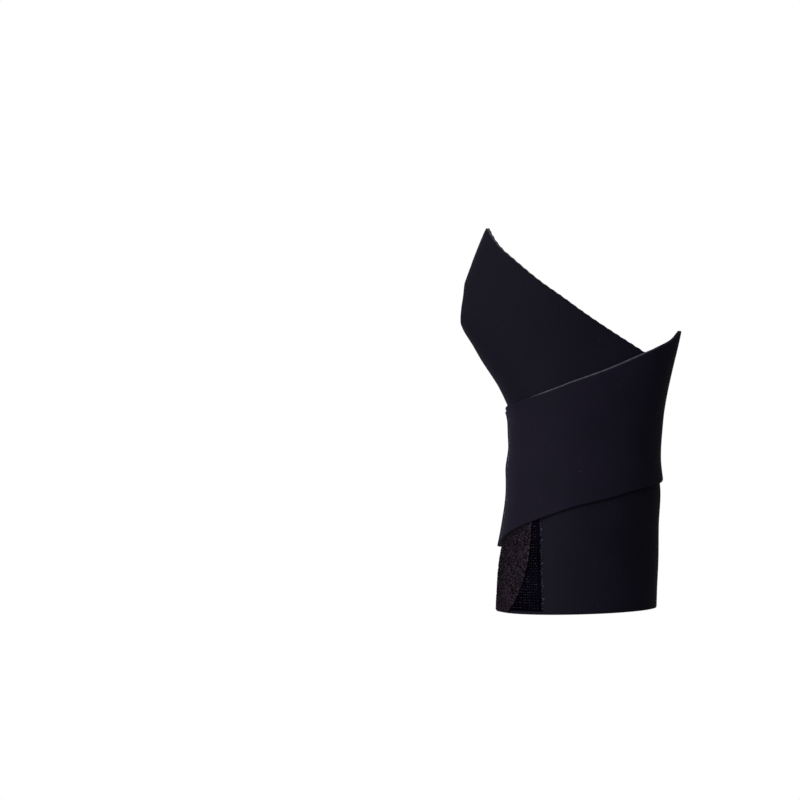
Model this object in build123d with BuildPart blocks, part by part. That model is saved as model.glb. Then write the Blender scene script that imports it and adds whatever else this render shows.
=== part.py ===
"""Wrist support brace: a thin stretch sleeve with a thumb hole, a forearm cuff that closes with
hook and loop, and a cross strap that winds over the back of the wrist and fastens at the palm.

Millimetres. +Z runs from the forearm to the fingers, +X to the little finger, +Y to the palm.
The origin is the middle of the forearm rim, which is the flat edge that the brace stands on.
"""

import os

from build123d import *

# Fabric: every panel is a bonded laminate of three plies.
LINING = 0.30
CORE = 0.60
FACE = 0.30
GLUE_GAP = 0.02
LAMINATE = LINING + CORE + FACE + 2 * GLUE_GAP
STITCH = 0.18
SEWN_GAP = 0.03

# Closure layers, as heights above the skin.
HOOK_TAPE = 0.40
FLAP_PLY = 0.40
FLAP_LIFT = 2.00
PATCH = 0.50
TAB_HOOK = 0.50

# Cross strap: how far it stands off the skin over the closure, and over the sleeve alone.
STRAP_LIFT_OVER_CLOSURE = 3.40
STRAP_LIFT_OVER_SLEEVE = 1.55
CLOSURE_TOP = 52.0
SLEEVE_ONLY_FROM = 74.0

# Heights and places.
SEAM_HEIGHT = 62.0
SEAM_WIDTH = 2.8
RIM_APEX = (-29.3, 139.4)
RIM_VALLEY = (27.0, 93.8)
RIM_LITTLE_FINGER_SIDE = 89.0
THUMB_HOLE_Y = (-4.6, 15.5)
THUMB_HOLE_Z = (103.0, 121.0)
THUMB_HOLE_CORNER = 6.0
SLIT_Y = (2.6, 4.2)
HOOK_TAPE_EDGE = -12.4
STRAP_HINGE_X = 0.0
TAB_HINGE_X = -14.0
TAB_END_X = 9.0
STRAP_ROOT_Y = 9.0
FLAP_HINGE_Y = 8.0
FLAP_MARGIN_END_Y = 13.5
HINGE_GAP = 0.3
REACH = 70.0
WHOLE_HEIGHT = (-10.0, 150.0)
HOOK_TAPE_Z = (1.5, 49.0)
HOOK_TAPE_SLIT_GAP = 1.2
HOOK_STITCH_X = (-12.3, -11.1)
FLAP_Z = (0.4, 50.0)
FLAP_CORNER = 5.0
MARGIN_STITCH_INSET = (1.5, 2.0)
PATCH_X = (-12.0, 24.0)
PATCH_Z = (12.0, 58.0)
PATCH_CORNER = 5.0
STRAP_ROOT_STITCH_Y = (5.0, 7.0)
STRAP_ROOT_STITCH_Z = (50.0, 88.0)
TAB_CORNER = 8.0
TAB_JOIN_Y = (6.0, 8.0)
TAB_JOIN_Z = (27.0, 70.0)
TAB_HOOK_X = (-10.5, 6.0)
TAB_HOOK_Z = (24.0, 52.0)
TAB_HOOK_CORNER = 4.0

# The worn shape: height, then the skin's half-widths to the thumb side, to the little finger side,
# to the back of the hand and to the palm, all measured from the wrist's axis.
STATIONS = [
    (-6.0, 26.7, 27.6, 21.5, 20.9),
    (6.0, 26.0, 28.1, 21.0, 20.6),
    (18.0, 24.9, 28.7, 20.3, 20.1),
    (30.0, 23.0, 29.2, 19.6, 19.6),
    (42.0, 21.0, 29.5, 18.9, 19.1),
    (54.0, 19.7, 29.7, 18.2, 18.8),
    (66.0, 20.0, 30.5, 17.7, 19.2),
    (76.0, 22.2, 31.9, 17.4, 20.2),
    (86.0, 28.2, 34.2, 17.1, 21.2),
    (96.0, 34.0, 36.5, 16.8, 22.1),
    (106.0, 38.6, 38.8, 16.5, 22.7),
    (116.0, 38.0, 40.8, 16.2, 22.7),
    (126.0, 34.5, 42.2, 15.9, 22.1),
    (136.0, 30.0, 43.0, 15.6, 21.2),
    (146.0, 25.0, 43.5, 15.3, 20.2),
]


def strap_lift(height):
    """Height of the strap's inner face above the skin: high over the closure, low above it."""
    share = (height - CLOSURE_TOP) / (SLEEVE_ONLY_FROM - CLOSURE_TOP)
    share = min(1.0, max(0.0, share))
    return STRAP_LIFT_OVER_CLOSURE + share * (STRAP_LIFT_OVER_SLEEVE - STRAP_LIFT_OVER_CLOSURE)


def limb(rise, is_strap=False):
    """The worn shape grown outwards by rise, as a loft of ovals made of four quarter ellipses."""
    with BuildPart() as body:
        for height, left, right, front, back in STATIONS:
            little_finger = rise + (STRAP_LIFT_OVER_SLEEVE if is_strap else 0.0)
            around = rise + (strap_lift(height) if is_strap else 0.0)
            with BuildSketch(Plane.XY.offset(height)):
                with BuildLine():
                    EllipticalCenterArc((0, 0), right + little_finger, back + around, 0, arc_size=90)
                    EllipticalCenterArc((0, 0), left + around, back + around, 90, arc_size=90)
                    EllipticalCenterArc((0, 0), left + around, front + around, 180, arc_size=90)
                    EllipticalCenterArc((0, 0), right + little_finger, front + around, 270, arc_size=90)
                make_face()
        loft()
    return body.part


def write(piece, label):
    """Labels a finished piece and writes its STEP file."""
    piece.part.label = label
    export_step(piece.part, f"parts/{label}.step")


def layer(label, rise, thickness, outline, is_strap=False):
    """One ply: the shell between two grown limbs, cut to its panel's outline."""
    outer = limb(rise + thickness, is_strap)
    inner = limb(rise, is_strap)
    with BuildPart() as piece:
        add(outer)
        add(inner, mode=Mode.SUBTRACT)
        add(outline, mode=Mode.INTERSECT)
    write(piece, label)


def laminate(panel, outline, is_strap=False):
    """The three plies of a panel, from the skin outwards."""
    rise = 0.0
    for ply, thickness in (("lining", LINING), ("core", CORE), ("face", FACE)):
        layer(f"{panel}_{ply}", rise, thickness, outline, is_strap)
        rise += thickness + GLUE_GAP


def slab(x_range, y_range, z_range, mode=Mode.ADD):
    """A box between three pairs of limits, in the block that is being built."""
    sizes = [high - low for low, high in (x_range, y_range, z_range)]
    middle = [(high + low) / 2 for low, high in (x_range, y_range, z_range)]
    with Locations(tuple(middle)):
        Box(*sizes, mode=mode)


def block(x_range, y_range, z_range):
    """The same box as an outline of its own."""
    with BuildPart() as outline:
        slab(x_range, y_range, z_range)
    return outline.part


def rounded_outline(x_range, z_range, corner, inset=0.0, mode=Mode.ADD):
    """A rounded rectangle set in from two pairs of limits, in the sketch that is being built."""
    with Locations((sum(x_range) / 2, sum(z_range) / 2)):
        RectangleRounded(
            x_range[1] - x_range[0] - 2 * inset,
            z_range[1] - z_range[0] - 2 * inset,
            corner,
            mode=mode,
        )


def stitched_border(x_range, z_range, corner, inset, width):
    """A frame of stitches that wide, set in from a rounded rectangle, pushed towards the palm."""
    with BuildPart() as border:
        with BuildSketch(Plane.XZ):
            rounded_outline(x_range, z_range, corner - inset, inset)
            rounded_outline(
                x_range, z_range, corner - inset - width, inset + width, mode=Mode.SUBTRACT
            )
        extrude(amount=-REACH)
    return border.part


os.makedirs("parts", exist_ok=True)

# Hand panel outline. Back of the hand: a straight rim from the thumb web down to the valley where
# the strap crosses it. Palm: a hollow rim that leaves the palm free. The thumb hole is a rounded
# oblong cut straight in from the thumb side.
with BuildPart() as hand_outline:
    with BuildSketch(Plane.XZ):
        with BuildLine():
            Polyline(
                (REACH, RIM_LITTLE_FINGER_SIDE),
                (REACH, SEAM_HEIGHT),
                (-REACH, SEAM_HEIGHT),
                (-REACH, RIM_APEX[1]),
                RIM_APEX,
                RIM_VALLEY,
            )
            Spline(
                RIM_VALLEY,
                (35.0, 89.6),
                (REACH, RIM_LITTLE_FINGER_SIDE),
                tangents=((0.78, -0.63), (1, 0)),
            )
        make_face()
    extrude(amount=REACH)
    with BuildSketch(Plane.XZ):
        with BuildLine():
            Polyline(
                (REACH, RIM_LITTLE_FINGER_SIDE),
                (REACH, SEAM_HEIGHT),
                (-REACH, SEAM_HEIGHT),
                (-REACH, RIM_APEX[1]),
                RIM_APEX,
            )
            Spline(
                RIM_APEX,
                (-20.0, 112.0),
                (0.0, 94.0),
                (24.0, 87.0),
                (REACH, RIM_LITTLE_FINGER_SIDE),
                tangents=((0.15, -1), (1, 0)),
            )
        make_face()
    extrude(amount=-REACH)
    with BuildSketch(Plane.YZ):
        with Locations((sum(THUMB_HOLE_Y) / 2, sum(THUMB_HOLE_Z) / 2)):
            RectangleRounded(
                THUMB_HOLE_Y[1] - THUMB_HOLE_Y[0],
                THUMB_HOLE_Z[1] - THUMB_HOLE_Z[0],
                THUMB_HOLE_CORNER,
            )
    extrude(amount=-REACH, mode=Mode.SUBTRACT)
laminate("hand_panel", hand_outline.part)

# Forearm cuff: a band with a slit at the thumb side, where its two ends meet under the flap.
with BuildPart() as cuff_outline:
    slab((-REACH, REACH), (-REACH, REACH), (0, SEAM_HEIGHT - SEWN_GAP))
    slab((-REACH, 0), SLIT_Y, (-1, SEAM_HEIGHT), mode=Mode.SUBTRACT)
laminate("cuff", cuff_outline.part)

# Flatlock seam that joins the cuff to the hand panel, all the way round.
layer(
    "waist_seam_stitching",
    LAMINATE + SEWN_GAP,
    STITCH,
    block(
        (-REACH, REACH),
        (-REACH, REACH),
        (SEAM_HEIGHT - SEAM_WIDTH / 2, SEAM_HEIGHT + SEAM_WIDTH / 2),
    ),
)

# Hook tape on the cuff's front end, and the zigzag row along its open edge.
layer(
    "cuff_hook_tape",
    LAMINATE + SEWN_GAP,
    HOOK_TAPE,
    block((-REACH, HOOK_TAPE_EDGE), (-REACH, SLIT_Y[0] - HOOK_TAPE_SLIT_GAP), HOOK_TAPE_Z),
)
layer(
    "cuff_hook_stitching",
    LAMINATE + SEWN_GAP,
    STITCH,
    block(HOOK_STITCH_X, (-REACH, 0), HOOK_TAPE_Z),
)

# Closure flap: it turns about the line where it leaves its sewn margin, goes round the thumb side
# and lies on the hook tape. Its free edge is cut to one long curve with a rounded upper corner.
FLAP_EDGE = [(-25.2, FLAP_Z[0]), (-18.6, 13.5), (-15.2, 36.0)]
with BuildPart() as flap_outline:
    with BuildSketch(Plane.XZ):
        with BuildLine():
            Line((-REACH, FLAP_Z[0]), FLAP_EDGE[0])
            ThreePointArc(*FLAP_EDGE)
            Line(FLAP_EDGE[-1], (FLAP_EDGE[-1][0], FLAP_Z[1] - FLAP_CORNER))
            RadiusArc(
                (FLAP_EDGE[-1][0], FLAP_Z[1] - FLAP_CORNER),
                (FLAP_EDGE[-1][0] - FLAP_CORNER, FLAP_Z[1]),
                -FLAP_CORNER,
            )
            Polyline(
                (FLAP_EDGE[-1][0] - FLAP_CORNER, FLAP_Z[1]),
                (-REACH, FLAP_Z[1]),
                (-REACH, FLAP_Z[0]),
            )
        make_face()
    extrude(amount=REACH)
    slab((-REACH, 0), (0, FLAP_HINGE_Y - HINGE_GAP), FLAP_Z)
layer("flap_backing", FLAP_LIFT, FLAP_PLY, flap_outline.part)
layer("flap_plush", FLAP_LIFT + FLAP_PLY + GLUE_GAP, FLAP_PLY, flap_outline.part)

# The flap's sewn margin stays with the cuff.
MARGIN_LIFT = LAMINATE + SEWN_GAP
layer(
    "flap_margin",
    MARGIN_LIFT,
    FLAP_LIFT + 2 * FLAP_PLY + GLUE_GAP - MARGIN_LIFT,
    block((-REACH, 0), (FLAP_HINGE_Y, FLAP_MARGIN_END_Y), FLAP_Z),
)
layer(
    "flap_stitching",
    FLAP_LIFT + 2 * FLAP_PLY + 2 * GLUE_GAP,
    STITCH,
    block(
        (-REACH, 0),
        (FLAP_HINGE_Y + MARGIN_STITCH_INSET[0], FLAP_MARGIN_END_Y - MARGIN_STITCH_INSET[0]),
        (MARGIN_STITCH_INSET[1], FLAP_Z[1] - MARGIN_STITCH_INSET[1]),
    ),
)

# Palm patch: the loop panel that the strap's tab fastens to, with its stitched border.
with BuildPart() as patch_outline:
    with BuildSketch(Plane.XZ):
        rounded_outline(PATCH_X, PATCH_Z, PATCH_CORNER)
    extrude(amount=-REACH)
layer("palm_loop_patch", LAMINATE + SEWN_GAP, PATCH, patch_outline.part)
layer(
    "palm_patch_stitching",
    LAMINATE + PATCH + 2 * SEWN_GAP,
    STITCH,
    stitched_border(PATCH_X, PATCH_Z, PATCH_CORNER, 1.2, 1.4),
)

# Cross strap, back of the hand: the strap's two edges, seen square on to the back of the hand.
STRAP_TOP_BACK = [(-23.6, 73.8), (-4.2, 82.5), (27.0, 93.8), (36.6, 97.8), (40.5, 100.5)]
STRAP_BOTTOM_BACK = [(31.8, 46.0), (9.3, 41.0), (-10.8, 35.2), (-27.8, 24.8)]
# The same two edges on the palm side, where the strap tapers to its tab.
STRAP_TOP_PALM = [(-23.6, 73.8), (TAB_HINGE_X, 68.5), (0.0, 61.5), (TAB_END_X, 57.5)]
STRAP_BOTTOM_PALM = [(TAB_END_X, 20.0), (0.0, 19.5), (TAB_HINGE_X, 20.5), (-27.8, 24.8)]

with BuildPart() as strap_outline_back:
    with BuildSketch(Plane.XZ):
        with BuildLine():
            Spline(*STRAP_TOP_BACK)
            Polyline(
                STRAP_TOP_BACK[-1],
                (REACH, STRAP_TOP_BACK[-1][1]),
                (REACH, STRAP_BOTTOM_BACK[0][1]),
                STRAP_BOTTOM_BACK[0],
            )
            Spline(*STRAP_BOTTOM_BACK)
            Polyline(
                STRAP_BOTTOM_BACK[-1],
                (-REACH, STRAP_BOTTOM_BACK[-1][1]),
                (-REACH, STRAP_TOP_BACK[0][1]),
                STRAP_TOP_BACK[0],
            )
        make_face()
    extrude(amount=REACH)

# Strap, first length: from its sewn end behind the little finger side to the strap's hinge line.
with BuildPart() as strap_back_outline:
    with BuildSketch(Plane.XZ):
        with BuildLine():
            Polyline(
                (41.5, STRAP_TOP_BACK[-1][1]),
                (36.6, 94.5),
                (0.0, 90.0),
                (0.0, 48.5),
                (30.0, 48.5),
                (31.8, STRAP_BOTTOM_BACK[0][1]),
                (REACH, STRAP_BOTTOM_BACK[0][1]),
                (REACH, STRAP_TOP_BACK[-1][1]),
                close=True,
            )
        make_face()
    extrude(amount=-STRAP_ROOT_Y)
    add(strap_outline_back.part)
    slab((-REACH, STRAP_HINGE_X + HINGE_GAP), (-REACH, REACH), WHOLE_HEIGHT, mode=Mode.SUBTRACT)
laminate("strap_back", strap_back_outline.part, is_strap=True)
STRAP_OUTER = LAMINATE + GLUE_GAP
layer(
    "strap_root_stitching",
    STRAP_OUTER,
    STITCH,
    block((0, REACH), STRAP_ROOT_STITCH_Y, STRAP_ROOT_STITCH_Z),
    is_strap=True,
)

# Strap on the palm side, from which the side length and the tab are cut.
with BuildPart() as strap_outline_palm:
    with BuildSketch(Plane.XZ) as palm_side:
        with BuildLine():
            Spline(*STRAP_TOP_PALM)
            Line(STRAP_TOP_PALM[-1], STRAP_BOTTOM_PALM[0])
            Spline(*STRAP_BOTTOM_PALM)
            Polyline(
                STRAP_BOTTOM_PALM[-1],
                (-REACH, STRAP_BOTTOM_PALM[-1][1]),
                (-REACH, STRAP_TOP_PALM[0][1]),
                STRAP_TOP_PALM[0],
            )
        make_face()
        fillet(palm_side.vertices().group_by(Axis.X)[-1], radius=TAB_CORNER)
    extrude(amount=-REACH)

# Strap, second length: round the thumb side, between the two hinge lines.
with BuildPart() as strap_side_outline:
    add(strap_outline_palm.part)
    slab((TAB_HINGE_X - HINGE_GAP, REACH), (-REACH, REACH), WHOLE_HEIGHT, mode=Mode.SUBTRACT)
    add(strap_outline_back.part)
    slab((STRAP_HINGE_X - HINGE_GAP, REACH), (-REACH, REACH), WHOLE_HEIGHT, mode=Mode.SUBTRACT)
laminate("strap_side", strap_side_outline.part, is_strap=True)

# Seam where the tab piece is sewn to the stretch strap, just behind the thumb side.
layer(
    "tab_join_stitching",
    STRAP_OUTER,
    STITCH,
    block((-REACH, 0), TAB_JOIN_Y, TAB_JOIN_Z),
    is_strap=True,
)

# Strap, last length: the tab, with the hook tape on its inner face and the stitches that hold it.
with BuildPart() as strap_tab_outline:
    add(strap_outline_palm.part)
    slab((-REACH, TAB_HINGE_X + HINGE_GAP), (-REACH, REACH), WHOLE_HEIGHT, mode=Mode.SUBTRACT)
laminate("strap_tab", strap_tab_outline.part, is_strap=True)

with BuildPart() as tab_hook_outline:
    with BuildSketch(Plane.XZ):
        rounded_outline(TAB_HOOK_X, TAB_HOOK_Z, TAB_HOOK_CORNER)
    extrude(amount=-REACH)
layer(
    "strap_hook_tape",
    -TAB_HOOK - GLUE_GAP,
    TAB_HOOK,
    tab_hook_outline.part,
    is_strap=True,
)
layer(
    "tab_stitching",
    STRAP_OUTER,
    STITCH,
    stitched_border(TAB_HOOK_X, TAB_HOOK_Z, TAB_HOOK_CORNER, 0.8, 1.2),
    is_strap=True,
)
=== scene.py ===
"""Wrist support brace: the visual model, laid out as an add-on and run as a script.

Every place on the brace is given by its turn, its height and its rise. The turn goes round the limb
in degrees: 0 at the little finger side, 90 at the back of the hand, 180 at the thumb side and 270
at the palm. The height is the distance from the forearm rim and the rise the distance off the skin.
"""

import math

import bpy
import numpy as np
from mathutils import Matrix, Vector


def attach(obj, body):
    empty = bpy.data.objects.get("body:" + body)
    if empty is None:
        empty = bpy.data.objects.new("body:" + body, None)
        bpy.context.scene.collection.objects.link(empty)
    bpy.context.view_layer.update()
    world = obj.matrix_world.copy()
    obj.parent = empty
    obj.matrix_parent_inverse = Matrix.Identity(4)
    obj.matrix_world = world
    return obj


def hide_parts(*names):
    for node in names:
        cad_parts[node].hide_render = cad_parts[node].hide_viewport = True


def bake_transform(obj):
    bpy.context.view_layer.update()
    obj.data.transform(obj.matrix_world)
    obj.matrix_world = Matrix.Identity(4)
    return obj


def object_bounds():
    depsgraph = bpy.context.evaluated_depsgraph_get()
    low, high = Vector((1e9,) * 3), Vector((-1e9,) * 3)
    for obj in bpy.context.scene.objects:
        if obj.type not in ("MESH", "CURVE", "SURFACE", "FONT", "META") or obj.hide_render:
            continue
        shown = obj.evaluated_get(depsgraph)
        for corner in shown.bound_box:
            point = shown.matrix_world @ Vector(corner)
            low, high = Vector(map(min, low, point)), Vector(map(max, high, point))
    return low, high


bl_info = {
    "name": "Wrist support brace", "version": (1, 0, 0), "blender": (4, 5, 0),
    "location": "View3D > Sidebar > Brace",
    "description": "Builds the brace's fabric, closures, seams and studio around the packed frame",
    "category": "Add Mesh",
}

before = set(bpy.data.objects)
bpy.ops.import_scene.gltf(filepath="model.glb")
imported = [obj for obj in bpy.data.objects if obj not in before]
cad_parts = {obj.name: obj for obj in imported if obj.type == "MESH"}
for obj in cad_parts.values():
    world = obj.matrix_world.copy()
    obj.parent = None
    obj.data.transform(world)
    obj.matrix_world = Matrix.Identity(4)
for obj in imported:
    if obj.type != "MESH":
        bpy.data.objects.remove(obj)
CAD_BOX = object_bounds()
MM = 0.001
SEED = 20

# Height, then the skin's half-widths to the thumb, to the little finger, to the back and to the palm.
STATIONS = MM * np.array(
    [
        (-6.0, 27.2, 27.6, 21.5, 20.9), (6.0, 26.5, 28.1, 21.0, 20.6), (18.0, 25.3, 28.9, 20.3, 20.1),
        (30.0, 22.6, 29.4, 19.6, 19.6), (42.0, 20.6, 30.3, 18.9, 19.1), (54.0, 20.5, 29.4, 18.2, 18.8),
        (66.0, 20.8, 30.3, 17.7, 19.2), (76.0, 22.6, 32.0, 17.4, 20.2), (86.0, 27.7, 34.4, 17.1, 21.2),
        (96.0, 33.7, 37.0, 16.8, 22.1), (106.0, 38.6, 39.2, 16.5, 22.7), (116.0, 37.6, 40.8, 16.2, 22.7),
        (126.0, 34.0, 42.2, 15.9, 22.1), (136.0, 29.8, 43.0, 15.6, 21.2), (146.0, 25.0, 43.5, 15.3, 20.2),
    ]
)

# Outlines, in millimetres. Across and height, seen square on to the back of the hand.
RIM_BACK = [
    (-29.4, 139.4), (-27.4, 135.9), (-25.0, 132.8), (-20.4, 128.7), (-15.8, 124.8), (-11.2, 121.1),
    (-1.9, 114.4), (7.4, 107.4), (16.7, 100.8), (26.0, 94.3), (29.0, 92.1),
]
# Turn and height of the rim round the palm side, from the thumb web to the little finger side.
RIM_PALM = [
    (180, 139.4), (194, 137.0), (210, 131.0), (228, 121.5), (247, 109.0), (270, 96.8), (300, 89.2),
    (330, 87.3), (360, 88.6),
]
RIM_SIDE = [(0, 88.6), (20, 90.2), (43.5, 93.8)]
STRAP_TOP_BACK = [(27.0, 93.8), (10.5, 87.5), (-4.2, 82.5), (-15.2, 78.4)]
STRAP_TOP_TURNS = [(-20, 92.5), (-8, 97.6), (3, 100.4), (22, 97.4)]
STRAP_TOP_ROUND = [(180, 73.6), (232, 68.0), (270, 61.5), (290, 58.5)]
STRAP_BOTTOM_BACK = [(28.5, 45.1), (24.0, 44.4), (9.3, 41.0), (-10.8, 35.2), (-20.0, 30.6)]
STRAP_BOTTOM_TURNS = [(-20, 48.5), (0, 46.4)]
STRAP_BOTTOM_ROUND = [(180, 24.6), (232, 20.8), (270, 19.5), (290, 19.0)]
FLAP_EDGE = [
    (0.3, -24.3), (4.0, -21.9), (9.0, -19.5), (18.0, -16.7), (26.0, -15.4), (36.0, -14.7), (50.0, -15.0),
]

STRAP_END_TURN = 289.0
STRAP_ROOT_TURN = -18.0
TAB_SEAM_TURN = 197.0
FLAP_ROOT_TURN = 214.0
FLAP_TOP = 50.0
HOOK_TAPE_EDGE = -12.4
HOOK_TAPE_TOP = 49.0
SEAM_HEIGHT = 62.0
SLIT_Y = (2.6, 4.2)
THUMB_HOLE_MIDDLE = (6.3, 112.0)
THUMB_HOLE_HALF = (9.5, 9.2)
THUMB_HOLE_SQUARENESS = 2.7
PATCH_TURNS = (238.0, 322.0)
PATCH_HEIGHTS = (12.0, 58.0)

# Lengths round the limb, for UVs and corners (metres) and for stitched rectangles (millimetres), and
# the millimetres in one UV unit.
SLEEVE_ROUND = 0.155
STRAP_ROUND = 0.16
TAB_ROUND = 0.15
RECTANGLE_ROUND = 135.0
MM_PER_UV = 100.0
LINT_COLOUR = (0.09, 0.08, 0.10, 1)

# Closure and patch layers, corners and the patch's width in millimetres, and how many loops the piles
# have.
TAB_CORNER = 8.0
PATCH_CORNER = 5.0
PATCH_WIDTH = 36.0
SEWN_GAP = 0.03
HOOK_TAPE = 0.26
TAB_TAPE = 0.32
FLAP_BACKING = 0.30
FLAP_PILE = 0.36
PATCH = 0.50
FLAP_LOOPS = 8200
PATCH_LOOPS = 5200

# The camera's view in metres, at the brace, and its sensor in millimetres.
VIEW_WIDTH = 0.2909
VIEW_MIDDLE = (-0.0644, 0.0760)
SENSOR_WIDTH = 36.0


def settings():
    """The scene's brace settings."""
    return bpy.context.scene.brace


def smoothstep(x, start, end):
    """0 before start and 1 after end, with the cubic 3t^2 - 2t^3 between them."""
    t = np.clip((np.asarray(x, float) - start) / (end - start), 0, 1)
    return t * t * (3 - 2 * t)


def curve_through(x, points):
    """A smooth curve through points of (x, y...): cubic Hermite spans, with each point's slope
    taken from its neighbours."""
    points = np.asarray(points, float)
    xs, ys = points[:, 0], points[:, 1:]
    slopes = np.gradient(ys, xs, axis=0)
    x = np.clip(x, xs[0], xs[-1])
    i = np.clip(np.searchsorted(xs, x, side="right") - 1, 0, len(xs) - 2)
    span = (xs[i + 1] - xs[i])[..., None]
    t = (np.asarray(x)[..., None] - xs[i][..., None]) / span
    low, high = ys[i], ys[i + 1]
    leave, arrive = slopes[i] * span, slopes[i + 1] * span
    return (
        (2 * t**3 - 3 * t**2 + 1) * low
        + (t**3 - 2 * t**2 + t) * leave
        + (3 * t**2 - 2 * t**3) * high
        + (t**3 - t**2) * arrive
    )


def half_widths(turn, height):
    """The skin oval's two half-widths at a turn and height: across, and front to back."""
    radii = curve_through(height, STATIONS)
    thumb, finger, back, palm = (radii[..., i] for i in range(4))
    across = np.where(np.cos(np.radians(turn)) > 0, finger, thumb)
    deep = np.where(np.sin(np.radians(turn)) > 0, back, palm)
    return across, deep


def folds(turn, height):
    """Shallow relief shared by all layers, in metres: a slow unevenness round the limb, folds that
    fan out below the thumb hole, and a groove that the strap's upper edge presses into the sleeve."""
    h = height / MM
    slow = 0.10 * np.sin(np.radians(3 * turn) + h / 17) * np.sin(h / 13 + 1.1)
    fan = np.exp(-(((turn - 172) / 34) ** 2) - ((h - 88) / 13) ** 2)
    fan = fan * np.sin(h / 2.3 + turn / 14)
    press = np.exp(-(((turn - 182) / 36) ** 2) - ((h - 70.3 + 0.1 * (turn - 182)) / 4.0) ** 2)
    waist = np.exp(-(((h - 66) / 9) ** 2)) * np.sin(np.radians(7 * turn) + h / 3.1)
    return MM * (slow - 0.6 * press + settings().shape.fold_depth / MM * (fan + 0.35 * waist))


def limb(turn, height, rise):
    """A point at a turn, height and rise: x = a cos(turn), y = -b sin(turn), where a and b are the
    skin oval's half-widths plus the rise and the folds."""
    turn, height, rise = np.broadcast_arrays(
        np.asarray(turn, float), np.asarray(height, float), np.asarray(rise, float)
    )
    across, deep = half_widths(turn, height)
    lift = rise + folds(turn, height)
    angle = np.radians(turn)
    return np.stack([(across + lift) * np.cos(angle), -(deep + lift) * np.sin(angle), height], -1)


def turn_at(across_mm, height_mm, palm=False):
    """The turn at which the sleeve's outside has that place across, on the back or on the palm."""
    across_mm, height_mm = np.broadcast_arrays(np.asarray(across_mm, float), height_mm)
    side = np.where(across_mm > 0, 10.0, 170.0)
    reach, _ = half_widths(side, height_mm * MM)
    share = np.clip(across_mm * MM / (reach + settings().fabric.laminate), -1, 1)
    turn = np.degrees(np.arccos(share))
    return 360 - turn if palm else turn


def rows_of(count, edge_rows=(0.0, 0.0022, 0.0055, 0.011)):
    """Shares from 0 to 1 for a panel's rows: evenly spaced, with extra rows close to both edges."""
    edge = np.array(edge_rows)
    middle = np.linspace(0, 1, count)[1:-1]
    middle = middle[(middle > edge[-1] * 1.3) & (middle < 1 - edge[-1] * 1.3)]
    return np.concatenate([edge, middle, 1 - edge[::-1]])


def rounded(share, depth, width):
    """How far a ply's outside sinks at its two cut edges: depth at the edge, fading over width."""
    near = np.minimum(share, 1 - share)
    return depth * np.exp(-((near / width) ** 2))


def make_object(name, verts, faces, uv=None, material=None):
    """A mesh object from vertex rows, lists of face corners and one UV pair per vertex."""
    mesh = bpy.data.meshes.new(name)
    mesh.from_pydata(verts.reshape(-1, 3), [], faces)
    if uv is not None:
        layer = mesh.uv_layers.new(name="cloth")
        corner = np.empty(len(mesh.loops), np.int32)
        mesh.loops.foreach_get("vertex_index", corner)
        layer.data.foreach_set("uv", uv.reshape(-1, 2)[corner].astype(np.float32).ravel())
    mesh.polygons.foreach_set("use_smooth", np.ones(len(mesh.polygons), bool))
    mesh.set_sharp_from_angle(angle=math.radians(50))
    mesh.update()
    piece = bpy.data.objects.new(name, mesh)
    bpy.context.collection.objects.link(piece)
    if material is not None:
        mesh.materials.append(material)
    return piece


def grid_faces(rows, columns, closed):
    """Corner numbers of the quads of a grid of rows by columns; closed joins the last column to the
    first. They run so that a grid whose columns turn clockwise, seen from above, faces outwards."""
    across = columns if closed else columns - 1
    r, c = np.meshgrid(np.arange(rows - 1), np.arange(across), indexing="ij")
    after = (c + 1) % columns
    quads = [r * columns + c, (r + 1) * columns + c, (r + 1) * columns + after, r * columns + after]
    return np.stack(quads, -1).reshape(-1, 4)


def ply(name, outer, inner, uv, material, closed=False, keep=None):
    """A thin closed solid between two grids of points: the outer grid, the inner grid turned round,
    and a wall along every open edge. keep says which quads of the grid the panel has."""
    rows, columns = outer.shape[:2]
    quads = grid_faces(rows, columns, closed)
    if keep is not None:
        quads = quads[keep]
    count = rows * columns
    start, end = quads, np.roll(quads, -1, axis=1)
    forward = (start.astype(np.int64) * count + end).ravel()
    backward = (end.astype(np.int64) * count + start).ravel()
    edge = ~np.isin(forward, backward)
    a, b = start.ravel()[edge], end.ravel()[edge]
    walls = np.stack([b, a, a + count, b + count], -1)
    faces = np.concatenate([quads, quads[:, ::-1] + count, walls])
    verts = np.concatenate([outer.reshape(-1, 3), inner.reshape(-1, 3)])
    used = np.unique(faces)
    place = np.full(2 * count, -1)
    place[used] = np.arange(len(used))
    both = np.concatenate([uv.reshape(-1, 2)] * 2)
    return make_object(name, verts[used], place[faces].tolist(), both[used], material)


def cloth_uv(turn, height):
    """UV in tenths of a metre: the length round the limb at the waist, and the height."""
    length = turn / 360 * SLEEVE_ROUND
    return np.stack(np.broadcast_arrays(length * 10, height * 10), -1)


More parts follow.
